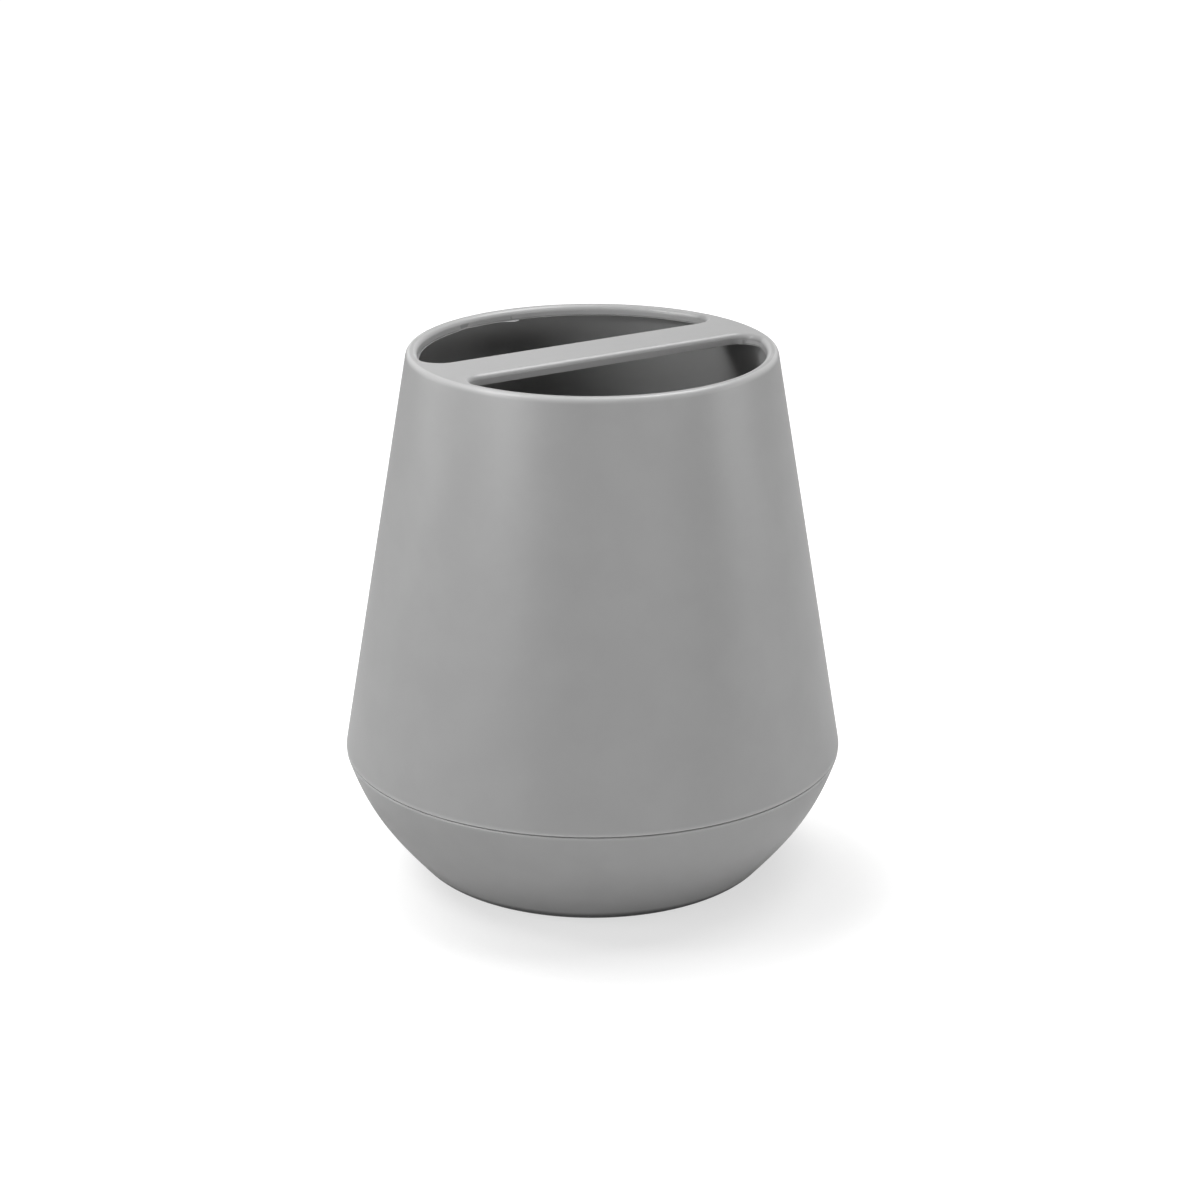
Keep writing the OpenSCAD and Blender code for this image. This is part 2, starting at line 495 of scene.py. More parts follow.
class GroupMaker:
    """Builds the shader groups that all the finishes share."""

    FINE_DETAIL = 2.0
    SLOW_DETAIL = 1.0
    PATCH_DETAIL = 4.0
    PATCH_LOW = 0.3
    PATCH_HIGH = 0.7
    LEVEL_START = 0.97
    LEVEL_FULL = 0.992
    TIDE_DETAIL = 2.0
    NOISE_MEAN = 0.5

    @staticmethod
    def start(
        effect: Effect, inputs: dict[str, Socket], output: str, kind: Socket = Socket.VALUE
    ) -> tuple[Wiring, dict[str, bpy.types.NodeSocket], bpy.types.NodeSocket]:
        """Open a new group with its sockets.

        Args:
            effect: The effect that the group makes.
            inputs: The kind of each input socket, by name.
            output: Name of the one output socket.
            kind: Kind of the output socket.

        Returns:
            The wiring, the inputs as sockets by name, and the output socket.
        """
        tree = bpy.data.node_groups.new(effect.value, "ShaderNodeTree")
        for name, socket in inputs.items():
            tree.interface.new_socket(name=name, in_out="INPUT", socket_type=socket.value)
        tree.interface.new_socket(name=output, in_out="OUTPUT", socket_type=kind.value)
        entry = tree.nodes.new("NodeGroupInput")
        leave = tree.nodes.new("NodeGroupOutput")
        return Wiring(tree), {name: entry.outputs[name] for name in inputs}, leave.inputs[output]

    @classmethod
    def grain(cls) -> bpy.types.NodeTree:
        """Give the height of a spark-eroded mould's fine grain over a slow orange peel.

        Returns:
            The new group.
        """
        inputs = {
            "Vector": Socket.VECTOR,
            "Fine Scale": Socket.VALUE,
            "Slow Scale": Socket.VALUE,
            "Slow Share": Socket.VALUE,
        }
        wiring, given, result = cls.start(Effect.GRAIN, inputs, "Height")
        fine = wiring.noise(given["Vector"], given["Fine Scale"], cls.FINE_DETAIL)
        slow = wiring.noise(given["Vector"], given["Slow Scale"], cls.SLOW_DETAIL)
        weighted = wiring.maths("MULTIPLY", slow, given["Slow Share"])
        wiring.feed(result, wiring.maths("ADD", fine, weighted))
        return wiring.tree

    @classmethod
    def mottle(cls) -> bpy.types.NodeTree:
        """Give a colour that drifts a little between two shades, in large and small patches.

        Returns:
            The new group.
        """
        inputs = {
            "Vector": Socket.VECTOR,
            "Scale": Socket.VALUE,
            "Dark": Socket.COLOUR,
            "Light": Socket.COLOUR,
        }
        wiring, given, result = cls.start(Effect.MOTTLE, inputs, "Colour", Socket.COLOUR)
        patches = wiring.noise(given["Vector"], given["Scale"], cls.PATCH_DETAIL)
        spread = wiring.ramp(patches, cls.PATCH_LOW, cls.PATCH_HIGH)
        wiring.feed(result, wiring.mix(spread, given["Dark"], given["Light"]))
        return wiring.tree

    @classmethod
    def specks(cls) -> bpy.types.NodeTree:
        """Give a mask of rare tiny specks: most cells of the pattern hold none.

        Returns:
            The new group.
        """
        inputs = {
            "Vector": Socket.VECTOR,
            "Scale": Socket.VALUE,
            "Size": Socket.VALUE,
            "Rarity": Socket.VALUE,
        }
        wiring, given, result = cls.start(Effect.SPECKS, inputs, "Mask")
        cells = wiring.node("TexVoronoi", {"Vector": given["Vector"], "Scale": given["Scale"]}).outputs
        inside = wiring.maths("LESS_THAN", cells["Distance"], given["Size"])
        chance = wiring.node("SeparateColor", {0: cells["Color"]}).outputs[0]
        chosen = wiring.maths("GREATER_THAN", chance, given["Rarity"])
        wiring.feed(result, wiring.maths("MULTIPLY", inside, chosen))
        return wiring.tree

    @classmethod
    def edges(cls) -> bpy.types.NodeTree:
        """Give a mask of the outward edges, which hands rub smoother than the level faces, and which the
        finishes also paint lighter as a highlight.

        Returns:
            The new group.
        """
        inputs = dict.fromkeys(("Start", "Full", "Level Loss"), Socket.VALUE)
        wiring, given, result = cls.start(Effect.EDGES, inputs, "Mask")
        pointiness = wiring.node("NewGeometry").outputs["Pointiness"]
        edge = wiring.ramp(pointiness, given["Start"], given["Full"])
        normal = wiring.node("TexCoord").outputs["Normal"]
        rise = wiring.node("SeparateXYZ", {"Vector": normal}).outputs["Z"]
        level_face = wiring.ramp(wiring.maths("ABSOLUTE", rise), cls.LEVEL_START, cls.LEVEL_FULL)
        lost = wiring.maths("MULTIPLY", level_face, given["Level Loss"])
        kept = wiring.maths("SUBTRACT", 1.0, lost)
        wiring.feed(result, wiring.maths("MULTIPLY", edge, kept))
        return wiring.tree

    @classmethod
    def foot_shade(cls) -> bpy.types.NodeTree:
        """Give a mask of the lowest part, for painted shade where the base meets the floor, up to an uneven
        line.

        Returns:
            The new group.
        """
        inputs = {
            "Vector": Socket.VECTOR,
            "Top": Socket.VALUE,
            "Full": Socket.VALUE,
            "Wander": Socket.VALUE,
            "Scale": Socket.VALUE,
        }
        wiring, given, result = cls.start(Effect.LOW_PAINTED_SHADE, inputs, "Mask")
        level_here = wiring.node("SeparateXYZ", {"Vector": given["Vector"]}).outputs["Z"]
        pattern = wiring.noise(given["Vector"], given["Scale"], cls.TIDE_DETAIL)
        unevenness = wiring.maths("SUBTRACT", pattern, cls.NOISE_MEAN)
        shift = wiring.maths("MULTIPLY", unevenness, given["Wander"])
        height = wiring.maths("ADD", level_here, shift)
        wiring.feed(result, wiring.ramp(height, given["Top"], given["Full"]))
        return wiring.tree


@cache
def shared_group(effect: Effect) -> bpy.types.NodeTree:
    """Give the group of an effect, which is built once.

    Args:
        effect: The effect.

    Returns:
        The group, the same one at each call.
    """
    makers = {
        Effect.GRAIN: GroupMaker.grain,
        Effect.MOTTLE: GroupMaker.mottle,
        Effect.SPECKS: GroupMaker.specks,
        Effect.EDGES: GroupMaker.edges,
        Effect.LOW_PAINTED_SHADE: GroupMaker.foot_shade,
    }
    return makers[effect]()


# Finishes


def grey(value: float) -> tuple[float, float, float, float]:
    """Give a neutral colour."""
    return (value, value, value, 1.0)


@dataclass(frozen=True)
class MouldedFinish:
    """A moulded material: plastic or rubber, with grain, mottle, specks, and edges that are smoothed
    by wear and painted lighter as a highlight.

    Where it has a painted shade share, its lowest part is darkened as painted shade up to an uneven line.
    """

    name: str
    shade: float
    mottle: float = 0.006
    mottle_scale: float = 110.0
    roughness: float = 0.36
    rubbed_roughness: float = 0.32
    # Painted highlight: the colour that the edges are lightened to.
    edge_highlight_shade: float = 0.37
    ior: float = 1.5
    grain_scale: float = 4200.0
    peel_scale: float = 420.0
    peel_share: float = 1.2
    grain_depth: float = 0.012 * MM
    speck_shade: float = 0.5
    speck_scale: float = 260.0
    speck_size: float = 0.06
    speck_rarity: float = 0.985
    edge_start: float = 0.506
    edge_full: float = 0.52
    level_loss: float = 0.65
    # Painted shade: how much, how dark and how high the lowest part is darkened where it meets the floor.
    painted_shade_share: float = 0.0
    painted_shade_tone: float = 0.06
    painted_shade_top: float = 3.2 * MM
    painted_shade_full: float = 1.9 * MM
    painted_shade_wander: float = 0.5 * MM
    painted_shade_scale: float = 60.0

    def colour(
        self, wiring: Wiring, place: bpy.types.NodeSocket, wear_and_highlight: bpy.types.NodeSocket
    ) -> bpy.types.NodeSocket:
        """Lay the colours over each other: mottle, the edges' painted highlight, specks and the painted
        shade along the foot.

        Args:
            wiring: The material's wiring.
            place: The place on the object.
            wear_and_highlight: The mask of the edges, smoothed by wear and painted lighter as a highlight.

        Returns:
            The finished colour.
        """
        mottle = {
            "Vector": place,
            "Scale": self.mottle_scale,
            "Dark": grey(self.shade - self.mottle),
            "Light": grey(self.shade + self.mottle),
        }
        specks = {
            "Vector": place,
            "Scale": self.speck_scale,
            "Size": self.speck_size,
            "Rarity": self.speck_rarity,
        }
        plain = wiring.effect(Effect.MOTTLE, mottle)
        # Painted highlight: the edges are lightened towards a lighter shade.
        edge_lightened = wiring.mix(wear_and_highlight, plain, grey(self.edge_highlight_shade))
        finished = wiring.mix(wiring.effect(Effect.SPECKS, specks), edge_lightened, grey(self.speck_shade))
        # Painted shade: the lowest part is darkened up to an uneven line, where the base meets the floor.
        if not self.painted_shade_share:
            return finished
        foot_shade = {
            "Vector": place,
            "Top": self.painted_shade_top,
            "Full": self.painted_shade_full,
            "Wander": self.painted_shade_wander,
            "Scale": self.painted_shade_scale,
        }
        foot_shaded = wiring.maths("MULTIPLY", wiring.effect(Effect.LOW_PAINTED_SHADE, foot_shade), self.painted_shade_share)
        return wiring.mix(foot_shaded, finished, grey(self.painted_shade_tone))

    def build(self) -> bpy.types.Material:
        """Make the material.

        Returns:
            The new material.
        """
        material = bpy.data.materials.new(self.name)
        material.use_nodes = True
        wiring = Wiring(material.node_tree)
        place = wiring.node("TexCoord").outputs["Object"]
        edges = {"Start": self.edge_start, "Full": self.edge_full, "Level Loss": self.level_loss}
        # One edge mask drives both the wear in the roughness and the painted highlight in the colour.
        wear_and_highlight = wiring.effect(Effect.EDGES, edges)
        polish = {"Value": wear_and_highlight, "To Min": self.roughness, "To Max": self.rubbed_roughness}
        grain = {
            "Vector": place,
            "Fine Scale": self.grain_scale,
            "Slow Scale": self.peel_scale,
            "Slow Share": self.peel_share,
        }
        bump = {"Distance": self.grain_depth, "Height": wiring.effect(Effect.GRAIN, grain)}
        surface = {
            "IOR": self.ior,
            "Base Color": self.colour(wiring, place, wear_and_highlight),
            "Roughness": wiring.node("MapRange", polish).outputs["Result"],
            "Normal": wiring.node("Bump", bump).outputs["Normal"],
        }
        shader = material.node_tree.nodes["Principled BSDF"]
        for name, value in surface.items():
            wiring.feed(shader.inputs[name], value)
        return material


# The cover's edges are painted far lighter than its shade, as a highlight along the rim and the lips.
COVER_PLASTIC = MouldedFinish("cover_plastic", shade=0.32, edge_highlight_shade=0.45)
# The base's foot is darkened as painted shade where it stands on the floor.
BASE_PLASTIC = MouldedFinish("base_plastic", shade=0.32, painted_shade_share=0.9)
SEAL_RUBBER = MouldedFinish(
    "seal_rubber",
    shade=0.075,
    mottle=0.01,
    roughness=0.62,
    rubbed_roughness=0.55,
    edge_highlight_shade=0.09,
    ior=1.42,
    speck_shade=0.12,
    peel_scale=900.0,
)
FOOT_RUBBER = MouldedFinish(
    "foot_rubber",
    shade=0.04,
    mottle=0.008,
    roughness=0.7,
    rubbed_roughness=0.6,
    edge_highlight_shade=0.055,
    ior=1.42,
    speck_shade=0.09,
    peel_scale=1200.0,
)


# The holder's pieces


def dress(piece: bpy.types.Object, sharp_angle: float, finish: MouldedFinish) -> None:
    """Smooth a modelled piece and give it its material."""
    smooth(piece, sharp_angle)
    piece.data.materials.append(finish.build())


@dataclass(frozen=True)
class Levels:
    """Heights of the holder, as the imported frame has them."""

    under: float
    seat: float
    top: float
    collar_top: float

    @classmethod
    def from_frame(cls) -> "Levels":
        """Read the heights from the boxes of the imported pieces.

        Returns:
            The heights.
        """
        cover_low, cover_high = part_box("upper_shell")
        base_low, base_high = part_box("base_bowl")
        return cls(under=base_low.z, seat=cover_low.z, top=cover_high.z, collar_top=base_high.z)


@dataclass(frozen=True)
class Swell:
    """A place where the flash stands up, reaches out or hangs down more than elsewhere."""

    angle: float
    spread: float
    rise: float = 0.0
    reach: float = 0.0
    droop: float = 0.0

    def weight(self, angle: float) -> float:
        """Give the swell's share at an angle, from 1 at its middle to 0 far away."""
        return math.exp(-(((angle - self.angle) / self.spread) ** 2))


@dataclass(frozen=True)
class FlashRun:
    """One stretch of the thin ragged fin that the mould's joint left along a lip.

    Angles are in degrees round the rim, from the right end of the bar.
    """

    start: float
    end: float
    swells: tuple[Swell, ...] = ()
    reach: float = 0.24 * MM
    raggedness: float = 0.45
    lift: float = 0.1 * MM
    wander: float = 0.05 * MM
    root: float = 0.3 * MM
    thickness: float = 0.09 * MM
    end_taper: float = 2.5
    coarse_bumps: float = 0.35
    coarse_lane: float = 0.3
    fine_bumps: float = 1.7
    fine_lane: float = 7.1

    def edges_at(self, angle: float) -> tuple[float, float, float]:
        """Give the fin's shape at an angle.

        Args:
            angle: Degrees round the rim.

        Returns:
            The fin's reach from the lip, the height of its root above the lip's lower edge,
            and the height of its tip above its root.
        """
        coarse = noise.noise(Vector((angle * self.coarse_bumps, self.coarse_lane, 0)))
        fine = noise.noise(Vector((angle * self.fine_bumps, self.fine_lane, 0)))
        nearest_end = min(abs(angle - self.start), abs(angle - self.end))
        taper = min(1.0, nearest_end / self.end_taper)
        reach = self.reach * (1 + self.raggedness * (coarse + fine)) * taper
        reach += sum(swell.reach * swell.weight(angle) for swell in self.swells)
        height = self.lift + self.wander * coarse
        height += sum(swell.rise * swell.weight(angle) for swell in self.swells)
        tilt = self.wander * fine - sum(swell.droop * swell.weight(angle) for swell in self.swells)
        return max(reach, self.thickness / 2), max(height, self.thickness), tilt

    def build(self, lip: Sequence[Vector], outward: Sequence[Vector], lower_edge: float) -> bpy.types.Object:
        """Model the fin as a closed thin strip with its root inside the plate.

        Args:
            lip: Points of the opening's outline, seen from above.
            outward: The direction out of the opening at each of those points.
            lower_edge: Height of the lip's lower edge.

        Returns:
            The new object.
        """
        roots = []
        tips = []
        for point, away in zip(lip, outward):
            angle = math.degrees(math.atan2(point.y, point.x))
            if not self.start <= angle <= self.end:
                continue
            reach, height, tilt = self.edges_at(angle)
            inner = point - away * reach
            outer = point + away * self.root
            roots.append(Vector((outer.x, outer.y, lower_edge + height)))
            tips.append(Vector((inner.x, inner.y, lower_edge + height + tilt)))
        strip = draw_chain("flash", roots)
        tip = draw_chain("flash_tip", tips)
        hold(strip)
        tip.select_set(True)
        bpy.ops.object.join()
        with editing(strip):
            pick_edges(strip, lambda edge: True)
            bpy.ops.mesh.bridge_edge_loops()
        wall = strip.modifiers.new("thickness", "SOLIDIFY")
        wall.thickness = self.thickness
        wall.offset = 0
        bpy.ops.object.modifier_apply(modifier=wall.name)
        with editing(strip):
            tidy_mesh()
        return strip


@dataclass
class Cover:
    """The tapered cover with its top plate, the bar and the two openings."""

    levels: Levels
    widest_radius: float = 50 * MM
    rim_radius: float = 36.25 * MM
    rim_width: float = 2.25 * MM
    rim_blend_across: float = 1 * MM
    rim_blend_down: float = 1.3 * MM
    rim_handle_share: float = 0.72
    wall: float = 2 * MM
    plate: float = 2.1 * MM
    bar_width: float = 11.6 * MM
    corner_radius: float = 4 * MM
    lip_rounding: float = 1.1 * MM
    ceiling_rounding: float = 0.5 * MM
    seat_width: float = 3 * MM
    seam_rounding: float = 0.3 * MM
    seam_ring: float = 0.7 * MM
    skirt_drop: float = 0.27 * MM
    skirt_width: float = 1.05 * MM
    mouth_rounding: float = 0.4 * MM
    bore_height: float = 8 * MM
    bore_step: float = 1 * MM
    parting_height: float = 0.28 * MM
    parting_step: float = 0.06 * MM
    parting_clearance: float = 0.02 * MM
    lip_steps: int = 8
    lip_profile: float = 0.5
    arc_steps: int = 150
    corner_steps: int = 14
    blend_steps: int = 8
    side_rings: int = 8
    sharp_angle: float = 38.0
    flash: tuple[FlashRun, ...] = (
        FlashRun(
            start=84,
            end=164,
            swells=(
                Swell(angle=107, spread=3, rise=0.2 * MM),
                Swell(angle=86, spread=4, reach=0.2 * MM, droop=0.3 * MM),
            ),
        ),
        FlashRun(
            start=15,
            end=88,
            reach=0.16 * MM,
            swells=(
                Swell(angle=75, spread=0.6, reach=0.2 * MM),
                Swell(angle=73, spread=0.4, reach=0.15 * MM),
                Swell(angle=49.5, spread=0.5, rise=0.15 * MM, reach=0.25 * MM),
            ),
        ),
    )

    @property
    def ceiling(self) -> float:
        """Height of the plate's underside."""
        return self.levels.top - self.plate

    def radius_at(self, height: float) -> float:
        """Outer radius of the tapered side at a height."""
        share = (self.levels.top - height) / (self.levels.top - self.levels.seat)
        return self.rim_radius + (self.widest_radius - self.rim_radius) * share

    def section(self) -> list[Vector]:
        """Outline one half of the cover, cut open through its axis.

        Returns:
            Points from the flat top round the outside and up the inside to the ceiling.
        """
        levels = self.levels
        skirt_edge = levels.seat - self.skirt_drop
        skirt_inner = self.widest_radius - self.skirt_width
        bore = self.widest_radius - self.seat_width
        bore_end = levels.seat + self.bore_height
        taper_start = bore_end + self.bore_step
        corners = [
            Corner(0, levels.top),
            *self.rim_blend(),
            *self.side_corners(levels.top - self.rim_blend_down, levels.seat),
            Corner(self.radius_at(levels.seat + self.seam_ring), levels.seat + self.seam_ring),
            Corner(self.widest_radius, skirt_edge, self.seam_rounding),
            Corner(skirt_inner, skirt_edge),
            Corner(skirt_inner, levels.seat),
            Corner(bore, levels.seat, self.mouth_rounding),
            Corner(bore, bore_end),
            Corner(self.radius_at(taper_start) - self.wall, taper_start),
            Corner(self.radius_at(self.ceiling) - self.wall, self.ceiling, self.ceiling_rounding),
            Corner(0, self.ceiling),
        ]
        return rounded(corners)[1:-1]

    def rim_blend(self) -> list[Corner]:
        """Blend the flat top into the side round the rim, tightest in the blend's middle.

        Returns:
            The blend's points as unrounded corners, from the top down.
        """
        top = self.levels.top
        end_height = top - self.rim_blend_down
        edge = Vector((self.rim_radius, top))
        start = edge - Vector((self.rim_blend_across, 0))
        end = Vector((self.radius_at(end_height), end_height))
        steering = [
            start,
            start.lerp(edge, self.rim_handle_share),
            end.lerp(edge, self.rim_handle_share),
            end,
        ]
        points = [curve_point(steering, step / self.blend_steps) for step in range(self.blend_steps + 1)]
        return [Corner(point.x, point.y) for point in points]

    def side_corners(self, high: float, low: float) -> list[Corner]:
        """Rings that divide the tapered side evenly between two heights."""
        drops = [high + (low - high) * ring / self.side_rings for ring in range(1, self.side_rings)]
        return [Corner(self.radius_at(height), height) for height in drops]

    def opening_outline(self, side: Opening, widening: float = 0.0) -> list[Vector]:
        """Outline of an opening, seen from above.

        Args:
            side: Which of the two openings.
            widening: How much larger the outline is all round.

        Returns:
            The outline's points, anticlockwise.
        """
        small = self.corner_radius + widening
        large = self.rim_radius - self.rim_width + widening
        middle_y = self.bar_width / 2 + self.corner_radius
        reach = self.rim_radius - self.rim_width - self.corner_radius
        middle_x = math.sqrt(reach**2 - middle_y**2)
        corner_angle = math.atan2(middle_y, middle_x)
        corner_sweep = math.pi / 2 + corner_angle
        arc_sweep = math.pi - 2 * corner_angle

        def corner(centre_x: float, start: float) -> list[Vector]:
            """Round the outline where the bar meets the rim.

            Args:
                centre_x: Where the rounding's centre lies along the bar.
                start: The heading from that centre at which the rounding starts.

            Returns:
                The rounding's points, anticlockwise.
            """
            steps = range(self.corner_steps + 1)
            headings = [start + corner_sweep * step / self.corner_steps for step in steps]
            offsets = [(small * math.cos(a), small * math.sin(a)) for a in headings]
            return [Vector((centre_x + along, middle_y + across)) for along, across in offsets]

        arc = [corner_angle + arc_sweep * step / self.arc_steps for step in range(1, self.arc_steps)]
        points = [
            *corner(middle_x, -math.pi / 2),
            *[large * Vector((math.cos(a), math.sin(a))) for a in arc],
            *corner(-middle_x, math.pi - corner_angle),
        ]
        return [side.value * point for point in points]

    def cut_openings(self, shell: bpy.types.Object) -> None:
        """Cut both openings, with the mould's parting step low on each wall but the bar's.

        Args:
            shell: The cover so far.
        """
        low = self.ceiling - OVERRUN
        for side in Opening:
            through = prism("opening_cut", self.opening_outline(side), low, self.levels.top + OVERRUN)
            combine(shell, through, Combination.CUT)
            off_the_bar = side.value * Vector((0, self.parting_step + self.parting_clearance))
            wider = [point + off_the_bar for point in self.opening_outline(side, self.parting_step)]
            relief = prism("parting_cut", wider, low, self.ceiling + self.parting_height)
            combine(shell, relief, Combination.CUT)

    def round_lips(self, shell: bpy.types.Object) -> None:
        """Round the upper edges of both openings over.

        Args:
            shell: The cover so far.
        """

        def is_lip(edge: bmesh.types.BMEdge) -> bool:
            """Say whether an edge lies between the flat top and an opening's wall."""
            facing_up = [face.normal.z > FACING_UP for face in edge.link_faces]
            return at_height(edge, self.levels.top) and any(facing_up) and not all(facing_up)

        with editing(shell):
            picked = pick_edges(shell, is_lip)
            bpy.ops.mesh.bevel(
                offset=self.lip_rounding,
                segments=self.lip_steps,
                profile=self.lip_profile,
                affect="EDGES",
                clamp_overlap=False,
                loop_slide=False,
            )
        log.info("rounded %d lip edges", picked)

    def leave_flash(self, shell: bpy.types.Object) -> None:
        """Join the ragged fins to the lower edge of the back opening's lip.

        Args:
            shell: The cover so far.
        """
        lip = self.opening_outline(Opening.BACK)
        wider = self.opening_outline(Opening.BACK, OVERRUN)
        outward = [(far - near) / OVERRUN for near, far in zip(lip, wider)]
        for run in self.flash:
            combine(shell, run.build(lip, outward, self.ceiling), Combination.JOIN)

    def build(self) -> bpy.types.Object:
        """Model the cover.

        Returns:
            The finished object.
        """
        shell = turned("cover_moulding", self.section())
        close_rims(shell, [self.levels.top, self.ceiling])
        self.cut_openings(shell)
        self.round_lips(shell)
        self.leave_flash(shell)
        with editing(shell):
            tidy_mesh()
        dress(shell, self.sharp_angle, COVER_PLASTIC)
        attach(shell, "cover")
        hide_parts("upper_shell")
        return shell


@dataclass
class Base:
    """The bowl-shaped base with the collar that the cover is pushed over."""

    levels: Levels
    widest_radius: float = 50 * MM
    height: float = 24.5 * MM
    wall: float = 2.4 * MM
    floor: float = 2.4 * MM
    foot_radius: float = 34.5 * MM
    foot_rounding: float = 5.3 * MM
    seam_lean: float = 18.0
    foot_lean: float = 42.0
    upper_handle_share: float = 0.37
    lower_handle_share: float = 0.42
    inner_side_share: float = 0.8
    inner_rounding: float = 6 * MM
    hollow: float = 0.8 * MM
    roof_rounding_share: float = 1 / 3
    land_rounding_share: float = 1 / 4
    seat_width: float = 3 * MM
    collar_clearance: float = 0.08 * MM
    collar_wall: float = 2.8 * MM
    collar_rounding: float = 0.8 * MM
    seam_depth: float = 1.2 * MM
    seam_drop: float = 0.15 * MM
    seam_rounding: float = 0.3 * MM
    groove_depth: float = 1.4 * MM
    groove_rise: float = 2.2 * MM
    groove_height: float = 2 * MM
    foot_groove_width: float = 3.6 * MM
    foot_groove_inset: float = 1.6 * MM
    foot_groove_depth: float = 1.2 * MM
    foot_land: float = 1.6 * MM
    gate_radius: float = 0.9 * MM
    gate_height: float = 0.25 * MM
    gate_well: float = 2.6 * MM
    gate_well_depth: float = 0.3 * MM
    side_steps: int = 28
    foot_steps: int = 14
    sharp_angle: float = 38.0
    side_end: Vector = field(init=False)
    side_curve: list[Vector] = field(init=False)
    flat_radius: float = field(init=False)

    def __post_init__(self) -> None:
        """Work out the points that steer the bowl's side, and where the flat underside ends."""
        lean = math.radians(self.foot_lean)
        tangent = self.foot_rounding * math.tan((math.pi / 2 - lean) / 2)
        corner = Vector((self.foot_radius, self.levels.under))
        self.side_end = corner + tangent * Vector((math.sin(lean), math.cos(lean)))
        start = Vector((self.widest_radius, self.levels.under + self.height - self.seam_drop))
        reach = (start - self.side_end).length
        top_lean = math.radians(self.seam_lean)
        upper = Vector((math.sin(top_lean), math.cos(top_lean))) * self.upper_handle_share * reach
        lower = Vector((math.sin(lean), math.cos(lean))) * self.lower_handle_share * reach
        self.side_curve = [start, start - upper, self.side_end + lower, self.side_end]
        self.flat_radius = self.foot_radius - tangent

    def side_point(self, share: float) -> Vector:
        """Point of the side's curve, from 0 at the seam to 1 at the foot."""
        return curve_point(self.side_curve, share)

    def side_heading(self, share: float) -> Vector:
        """Work out which way the side's curve runs down.

        Args:
            share: How far along the curve, from 0 at the seam to 1 at the foot.

        Returns:
            The direction, one long.
        """
        first, second, third, fourth = self.side_curve
        rest = 1 - share
        slope = rest**2 * (second - first) + 2 * rest * share * (third - second)
        slope += share**2 * (fourth - third)
        return slope.normalized()

    def inner_point(self, share: float) -> Vector:
        """Point of the bowl's inner side, one wall inside the outer one."""
        down = self.side_heading(share)
        return self.side_point(share) + self.wall * Vector((down.y, -down.x))

    def underside(self) -> list[Corner]:
        """Outline the underside with the gate's well, the hollow and the foot ring's groove.

        Returns:
            Corners from the middle out to the foot's rounding.
        """
        under = self.levels.under
        roof = under + self.hollow
        groove_outer = self.flat_radius - self.foot_groove_inset
        groove_inner = groove_outer - self.foot_groove_width
        hollow_radius = groove_inner - self.foot_land
        groove_roof = under + self.foot_groove_depth
        well_roof = roof + self.gate_well_depth
        return [
            Corner(0, well_roof - self.gate_height),
            Corner(self.gate_radius, well_roof - self.gate_height, self.gate_height / 2),
            Corner(self.gate_radius, well_roof),
            Corner(self.gate_well, well_roof, self.gate_well_depth / 2),
            Corner(self.gate_well + self.gate_well_depth, roof, self.gate_well_depth / 2),
            Corner(hollow_radius - self.hollow / 2, roof, self.hollow * self.roof_rounding_share),
            Corner(hollow_radius, under, self.hollow * self.land_rounding_share),
            Corner(groove_inner, under),
            Corner(groove_inner, groove_roof),
            Corner(groove_outer, groove_roof),
            Corner(groove_outer, under),
        ]

    def inside(self) -> list[Vector]:
        """Outline the inside of the bowl.

        Returns:
            Points from the collar down the side, and along the floor to the middle.
        """
        collar_inner = self.collar_radius - self.collar_wall
        floor_height = self.levels.under + self.hollow + self.floor
        shares = [self.inner_side_share * step / self.side_steps for step in range(self.side_steps + 1)]
        wall_points = [self.inner_point(share) for share in shares]
        shown = [point for point in wall_points if point.x < collar_inner]
        hidden = [point for point in wall_points if point.x >= collar_inner]
        share_of_gap = (hidden[-1].x - collar_inner) / (hidden[-1].x - shown[0].x)
        joint = hidden[-1].lerp(shown[0], share_of_gap)
        end = shown[-1]
        heading = self.side_heading(self.inner_side_share)
        meeting = end + heading * (floor_height - end.y) / heading.y
        corner = Corner(meeting.x, meeting.y, self.inner_rounding, self.foot_steps)
        bottom = Vector((0, floor_height))
        return [joint, *shown[:-1], *corner_arc(end, corner, bottom), bottom]

    @property
    def collar_radius(self) -> float:
        """Outer radius of the collar."""
        return self.widest_radius - self.seat_width - self.collar_clearance

    def section(self) -> list[Vector]:
        """Outline one half of the base, cut open through its axis.

        Returns:
            Points from the middle of its underside round the outside to the middle of its floor.
        """
        under = self.levels.under
        seat = self.levels.seat
        edge = under + self.height - self.seam_drop
        collar = self.collar_radius
        collar_inner = collar - self.collar_wall
        collar_top = self.levels.collar_top
        groove_low = seat + self.groove_rise
        groove_high = groove_low + self.groove_height
        seam_inner = self.widest_radius - self.seam_depth
        foot = Corner(self.foot_radius, under, self.foot_rounding, self.foot_steps)
        side = [self.side_point(step / self.side_steps) for step in range(self.side_steps - 1, 0, -1)]
        return [
            *rounded(self.underside()),
            *corner_arc(Vector((0, under)), foot, self.side_end),
            *side,
            *rounded(
                [
                    Corner(side[-1].x, side[-1].y),
                    Corner(self.widest_radius, edge, self.seam_rounding),
                    Corner(seam_inner, edge),
                    Corner(seam_inner, seat),
                    Corner(collar, seat),
                    Corner(collar, groove_low),
                    Corner(collar - self.groove_depth, groove_low),
                    Corner(collar - self.groove_depth, groove_high),
                    Corner(collar, groove_high),
                    Corner(collar, collar_top, self.collar_rounding),
                    Corner(collar_inner, collar_top, self.collar_rounding),
                    Corner(collar_inner, seat),
                ]
            )[1:-1],
            *self.inside(),
        ]

